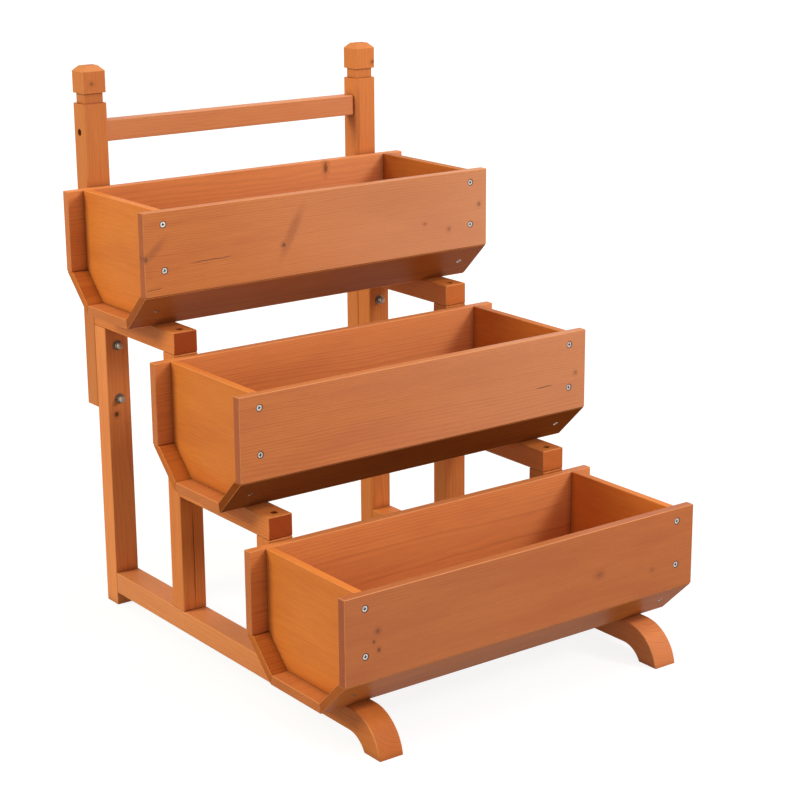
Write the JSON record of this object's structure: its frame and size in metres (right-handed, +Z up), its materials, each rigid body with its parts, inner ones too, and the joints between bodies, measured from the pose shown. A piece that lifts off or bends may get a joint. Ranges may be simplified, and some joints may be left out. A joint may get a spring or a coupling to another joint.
{
  "type": "tiered plant stand",
  "caption": "Stepped wooden stand with trough planters carried between two side frames, tall rear posts and curved front feet.",
  "frame": {"origin": "on the floor, at the bottom centre of the stand's bounding box", "axes": "+X along the planters to the right as seen from the front, +Y to the back, +Z up"},
  "size_m": [0.6, 0.7468, 0.814],
  "materials": {
    "frame_wood": "reddish brown stain on planed softwood, satin",
    "planter_wood": "reddish brown stain on planed softwood with knots, satin",
    "screw_steel": "bright zinc plate",
    "bolt_steel": "zinc plate",
    "dowel_wood": "plain beech"
  },
  "bodies": {
    "root": {"crossbar": "frame_wood", "left_post": "frame_wood", "left_back_leg": "frame_wood", "left_middle_leg": "frame_wood", "left_front_leg": "frame_wood", "left_top_rail": "frame_wood", "left_middle_rail": "frame_wood", "left_bottom_rail": "frame_wood", "left_front_foot": "frame_wood", "right_post": "frame_wood", "right_back_leg": "frame_wood", "right_middle_leg": "frame_wood", "right_front_leg": "frame_wood", "right_top_rail": "frame_wood", "right_middle_rail": "frame_wood", "right_bottom_rail": "frame_wood", "right_front_foot": "frame_wood", "top_planter_front_board": "planter_wood", "top_planter_back_board": "planter_wood", "top_planter_front_slope_board": "planter_wood", "top_planter_back_slope_board": "planter_wood", "top_planter_base_board": "planter_wood", "top_planter_left_end_panel": "planter_wood", "top_planter_right_end_panel": "planter_wood", "middle_planter_front_board": "planter_wood", "middle_planter_back_board": "planter_wood", "middle_planter_front_slope_board": "planter_wood", "middle_planter_back_slope_board": "planter_wood", "middle_planter_base_board": "planter_wood", "middle_planter_left_end_panel": "planter_wood", "middle_planter_right_end_panel": "planter_wood", "bottom_planter_front_board": "planter_wood", "bottom_planter_back_board": "planter_wood", "bottom_planter_front_slope_board": "planter_wood", "bottom_planter_back_slope_board": "planter_wood", "bottom_planter_base_board": "planter_wood", "bottom_planter_left_end_panel": "planter_wood", "bottom_planter_right_end_panel": "planter_wood", "rail_top_screws": "screw_steel", "rail_end_screws": "screw_steel", "leg_foot_screws": "screw_steel", "crossbar_screws": "screw_steel", "seat_screws": "screw_steel", "top_planter_screws": "screw_steel", "middle_planter_screws": "screw_steel", "bottom_planter_screws": "screw_steel", "post_bolts": "bolt_steel", "bolt_washers": "bolt_steel", "cap_nuts": "bolt_steel", "foot_dowels": "dowel_wood"}
  },
  "joints": []
}
